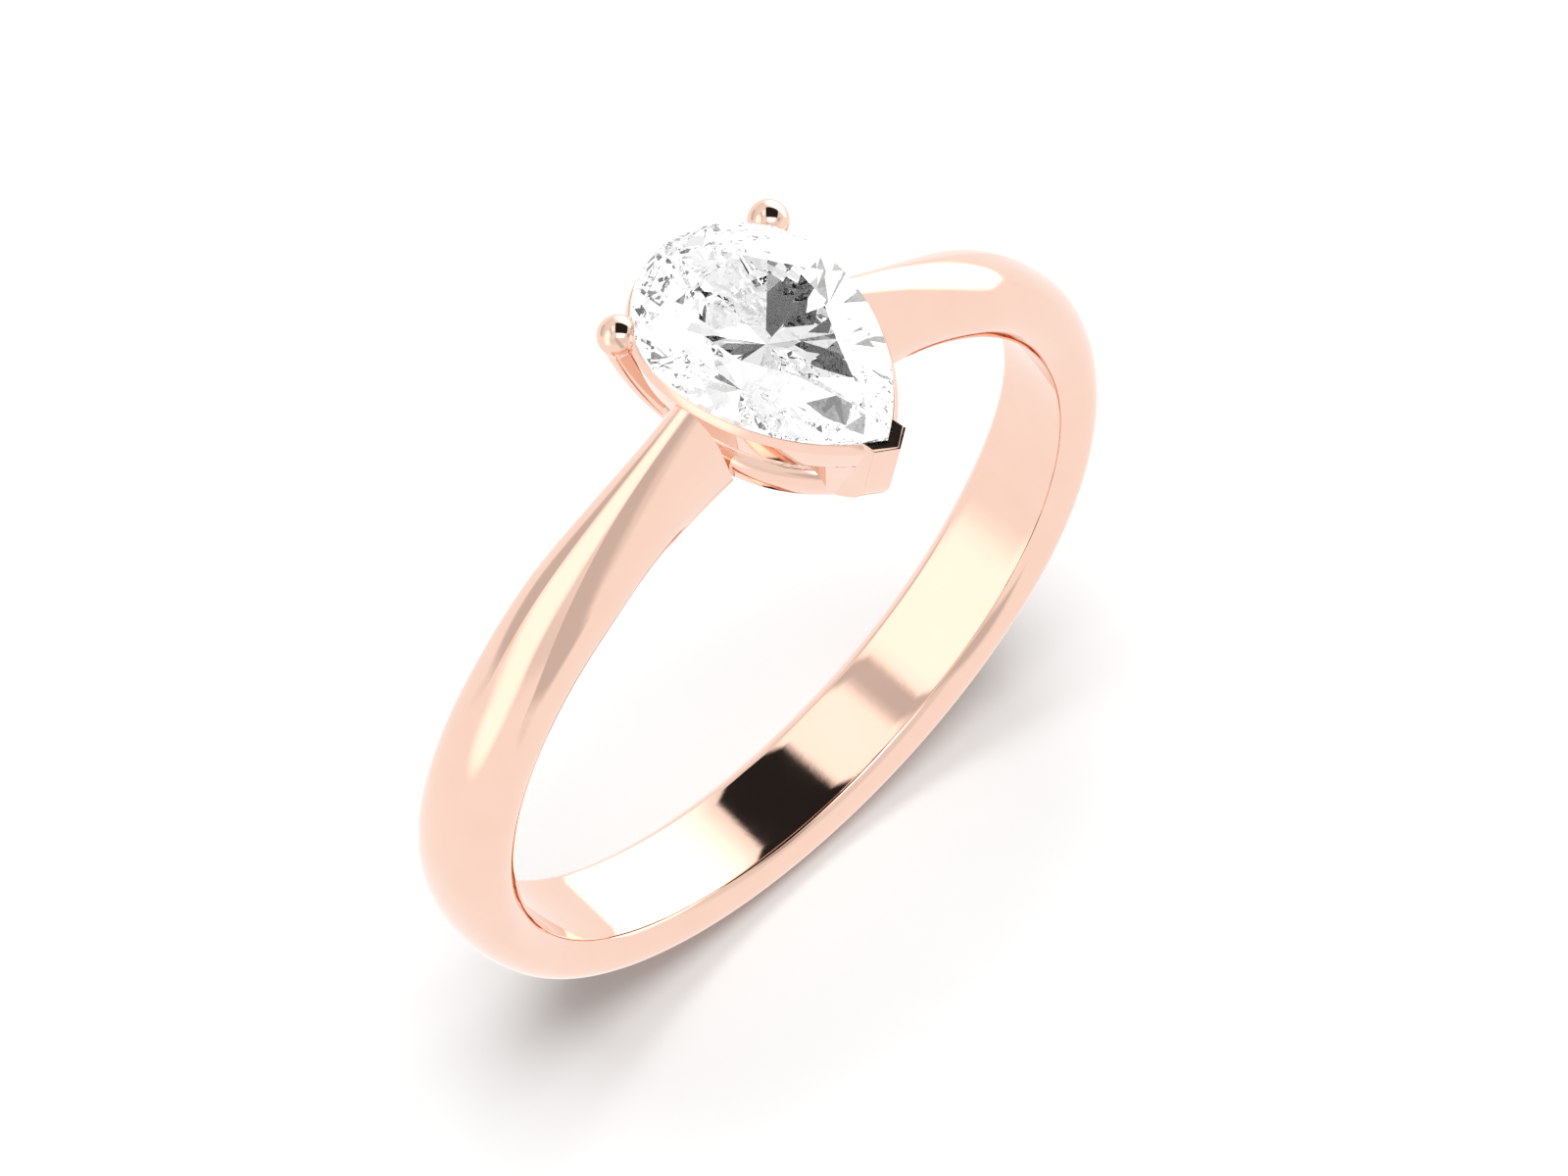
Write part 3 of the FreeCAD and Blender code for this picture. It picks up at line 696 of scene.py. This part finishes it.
class Studio:
    """The light tent round the ring, worked out from the direction that a ray leaves in."""

    def __init__(self, tree):
        self.nodes, self.links = tree.nodes, tree.links
        self.way = way = self.nodes.new("ShaderNodeTexCoord").outputs["Generated"]
        self.rise = self.dot(way, (0, 0, 1))
        over = self.math("MAXIMUM", self.rise, 0.02)
        self.aside = self.math("DIVIDE", self.dot(way, right), over)
        self.ahead = self.math("DIVIDE", self.dot(way, (-right.y, right.x, 0)), over)
        self.light = None

    def put(self, value, socket):
        """Feeds a socket from another socket, or sets it to a number or a colour."""
        if isinstance(value, bpy.types.NodeSocket):
            self.links.new(value, socket)
        else:
            socket.default_value = value

    def dot(self, way, axis):
        """How far a direction goes along an axis."""
        node = self.nodes.new("ShaderNodeVectorMath")
        node.operation = "DOT_PRODUCT"
        self.links.new(way, node.inputs[0])
        node.inputs[1].default_value = axis
        return node.outputs["Value"]

    def math(self, operation, first, second):
        """One sum on two sockets or numbers."""
        node = self.nodes.new("ShaderNodeMath")
        node.operation = operation
        self.put(first, node.inputs[0])
        self.put(second, node.inputs[1])
        return node.outputs["Value"]

    def step(self, value, start, end):
        """A smooth step from 0 at start to 1 at end."""
        node = self.nodes.new("ShaderNodeMapRange")
        node.interpolation_type = "SMOOTHSTEP"
        self.links.new(value, node.inputs["Value"])
        node.inputs["From Min"].default_value = start
        node.inputs["From Max"].default_value = end
        return node.outputs["Result"]

    def blend(self, share, first, second):
        """A mix of two colours by a share from 0 to 1."""
        node = self.nodes.new("ShaderNodeMix")
        node.data_type = "RGBA"
        node.clamp_factor = True
        self.put(share, node.inputs["Factor"])
        self.put(first, node.inputs["A"])
        self.put(second, node.inputs["B"])
        return node.outputs["Result"]

    def panel(self, aside, ahead, colour, soft):
        """A rectangle overhead, lit or dark: its reach to the right and away, per unit of height."""
        mask = self.step(self.rise, 0.0, 0.05)
        for value, (low, high) in ((self.aside, aside), (self.ahead, ahead)):
            mask = self.math("MULTIPLY", mask, self.step(value, low - soft, low + soft))
            mask = self.math("MULTIPLY", mask, self.step(value, high + soft, high - soft))
        self.light = self.blend(mask, self.light, colour + (1,))

    def glow(self, middle, full, edge, colour, foot=-1.0):
        """A round patch of light or shade: even out to one angle, gone by the next, none below a foot."""
        near = self.dot(self.way, middle)
        mask = self.step(near, math.cos(math.radians(edge)), math.cos(math.radians(full)))
        mask = self.math("MULTIPLY", mask, self.step(self.rise, foot, foot + 0.06))
        self.light = self.blend(mask, self.light, colour + (1,))

    def strip(self, first, last, patches, full, edge, colour):
        """A soft strip of light or shade: round patches spaced evenly from one direction to another."""
        for step in range(patches):
            self.glow(first.slerp(last, step / (patches - 1)), full, edge, colour)


world = bpy.data.worlds.new("studio")
bpy.context.scene.world = world
world.use_nodes = True
studio = Studio(world.node_tree)

WHITE = (1, 1, 1, 1)
GROUND, LOW_SKY, HIGH_SKY = (1.08, 1.08, 1.08, 1), (0.9, 0.9, 0.9, 1), (0.98, 0.98, 0.98, 1)
MATT_LIGHT = (0.4, 0.4, 0.4, 1)
SHADE, BLACK, DIM = (0.68, 0.68, 0.68), (0.02, 0.02, 0.02), (0.45, 0.45, 0.4)
PALE, BRIGHT, LAMP, KEY = (1.4, 1.4, 1.38), (1.55, 1.55, 1.5), (2.1, 2.1, 2.05), (2.2, 2.2, 2.2)
LAMP_FOOT = -0.25

studio.light = studio.blend(studio.step(studio.rise, 0.0, 0.3), GROUND, LOW_SKY)
studio.light = studio.blend(studio.step(studio.rise, 0.35, 0.65), studio.light, HIGH_SKY)
# Strips that the left shoulder mirrors: shade in its front and rear flutes, light along its rib.
studio.strip(towards(-113, -9), towards(-141, 36), 6, 3, 13, SHADE)
studio.strip(towards(127, -1), towards(104, 6), 4, 3, 13, SHADE)
studio.strip(towards(174, 1), towards(151, 35), 4, 6, 20, BRIGHT)
# Two round lamps that the right shoulder mirrors.
studio.glow(towards(22, 14), 16, 42, LAMP, LAMP_FOOT)
studio.glow(towards(0, 2), 22, 32, LAMP, LAMP_FOOT)
# Cards overhead that the inside of the band mirrors.
studio.panel((-0.6, -0.22), (-0.12, 0.4), PALE, 0.05)
studio.panel((-0.84, -0.64), (-0.6, 0.3), SHADE, 0.05)
studio.panel((-0.22, 1.2), (-0.35, 0.78), BLACK, 0.03)
studio.panel((-0.1, 0.9), (-1.0, -0.4), KEY, 0.04)
studio.panel((1.5, 2.3), (-0.9, -0.2), DIM, 0.1)

# The backdrop is plain white, and matt surfaces get an even light.
path = world.node_tree.nodes.new("ShaderNodeLightPath")
lit = studio.blend(path.outputs["Is Diffuse Ray"], studio.light, MATT_LIGHT)
lit = studio.blend(path.outputs["Is Camera Ray"], lit, WHITE)
world.node_tree.links.new(lit, world.node_tree.nodes["Background"].inputs["Color"])

# The stone needs many bounces, or its inside turns black.
LIGHT_BOUNCES = 24
bounces = bpy.context.scene.cycles
bounces.max_bounces = bounces.glossy_bounces = bounces.transmission_bounces = LIGHT_BOUNCES

bpy.context.scene.view_settings.view_transform = "Standard"
